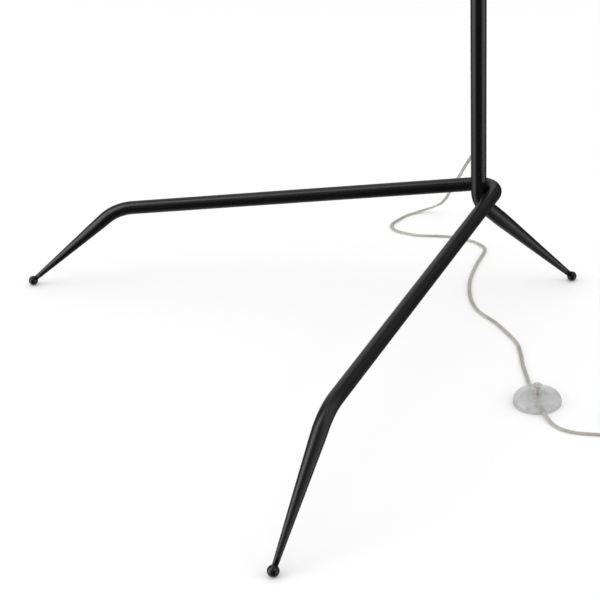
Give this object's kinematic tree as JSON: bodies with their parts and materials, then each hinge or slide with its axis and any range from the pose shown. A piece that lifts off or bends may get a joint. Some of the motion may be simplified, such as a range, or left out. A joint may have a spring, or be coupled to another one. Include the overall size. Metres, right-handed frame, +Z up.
{
  "type": "tripod floor lamp",
  "caption": "Floor lamp on a tripod of bent tubes, with a swivelling arm, a tilting dome shade and a mains lead with a clear foot switch.",
  "frame": {"origin": "on the floor, under the middle of the box round the lamp's three feet, arm and pole", "axes": "+Z up; the long legs and the arm point along -Y, the short leg along +Y, and +X is to the right as seen from the front (-Y) side"},
  "size_m": [0.886, 0.7252, 1.5948],
  "materials": {
    "black_metal": "satin black powder paint",
    "ball_black": "semi-gloss black paint",
    "weld_black": "satin black paint over a weld bead",
    "shade_black": "spun aluminium, satin black outside and white inside",
    "knob_black": "satin black paint over cast metal",
    "steel": "turned or pressed plain steel",
    "brass_part": "turned or pressed brass",
    "rose_metal": "copper-plated rod seen through the button",
    "copper": "bare stranded copper",
    "nylon": "natural nylon",
    "grommet_clear": "translucent soft plastic",
    "switch_clear": "clear plastic, faintly lavender",
    "switch_white": "white moulded plastic",
    "button_clear": "clear plastic",
    "lead_clear": "clear twin flex with silvery-beige conductors",
    "plug_clear": "clear plastic, as the foot switch",
    "nickel": "nickel-plated brass",
    "holder_black": "black thermoset plastic",
    "holder_white": "glazed ceramic",
    "cap_metal": "rolled aluminium screw cap",
    "bulb_clear": "clear blown glass",
    "stem_glass": "clear glass stem",
    "filament": "yellow phosphor on light strips"
  },
  "bodies": {
    "base": {"pole_lower": "black_metal", "leg_pair": "black_metal", "hub_welds": "weld_black", "foot_left": "ball_black", "foot_right": "ball_black", "foot_rear": "ball_black", "pole_coupler_lower": "steel", "pole_middle": "black_metal", "pole_coupler_upper": "steel", "pole_upper": "black_metal", "cord_grommet": "grommet_clear", "wire_pole": "lead_clear", "arm_bush": "nylon", "arm_socket": "black_metal", "socket_grub_screw": "steel", "switch_base": "switch_clear", "switch_cover": "switch_clear", "switch_spring": "steel", "switch_body": "switch_white", "switch_contacts": "brass_part", "switch_terminals": "nickel", "switch_leads": "copper", "switch_clamps": "switch_white", "switch_screws": "steel", "cord_upper": "lead_clear", "cord_lower": "lead_clear", "cord_coil": "lead_clear", "cord_tail": "lead_clear", "plug_body": "plug_clear", "plug_pins": "nickel"},
    "lock_screw": {"arm_lock_screw": "knob_black"},
    "arm": {"arm_tube": "black_metal", "wire_arm": "lead_clear", "arm_ferrule": "black_metal", "swivel_washer": "nylon"},
    "fork": {"knuckle_fork": "black_metal", "knuckle_pin": "steel", "knuckle_washer": "steel", "swivel_ring": "steel"},
    "wing_nut": {"knuckle_wing_nut": "knob_black"},
    "shade": {"shade_neck": "black_metal", "shade_shell": "shade_black", "shade_nipple": "brass_part", "shade_nuts": "steel", "holder_body": "holder_black", "holder_core": "holder_white", "holder_sleeve": "brass_part", "holder_contact": "brass_part", "bulb_cap": "cap_metal", "bulb_glass": "bulb_clear", "bulb_stem": "stem_glass", "bulb_filaments": "filament"},
    "button": {"switch_button": "button_clear", "switch_plunger": "rose_metal"}
  },
  "joints": [
    {"name": "arm_swivel", "type": "hinge", "parent": "base", "child": "arm", "pos_m": [0, 0.18993, 1.44], "axis": [0, 0, 1], "range_deg": [-170, 170]},
    {"name": "lock_screw_turn", "type": "hinge", "parent": "base", "child": "lock_screw", "pos_m": [0, 0.18993, 1.433], "axis": [0, 1, 0], "range_deg": [0, 360]},
    {"name": "shade_swivel", "type": "hinge", "parent": "arm", "child": "fork", "pos_m": [0, -0.19979, 1.51078], "axis": [0, 0, 1], "range_deg": [-150, 150]},
    {"name": "shade_tilt", "type": "hinge", "parent": "fork", "child": "shade", "pos_m": [0, -0.19979, 1.49178], "axis": [1, 0, 0], "range_deg": [-50, 50]},
    {"name": "wing_nut_turn", "type": "hinge", "parent": "fork", "child": "wing_nut", "pos_m": [0.012, -0.19979, 1.49178], "axis": [1, 0, 0], "range_deg": [0, 360]},
    {"name": "switch_press", "type": "slide", "parent": "base", "child": "button", "axis": [0, 0, -1], "range_m": [0, 0.003], "stiffness_N_per_m": 1500, "deforming": ["switch_spring"]}
  ]
}
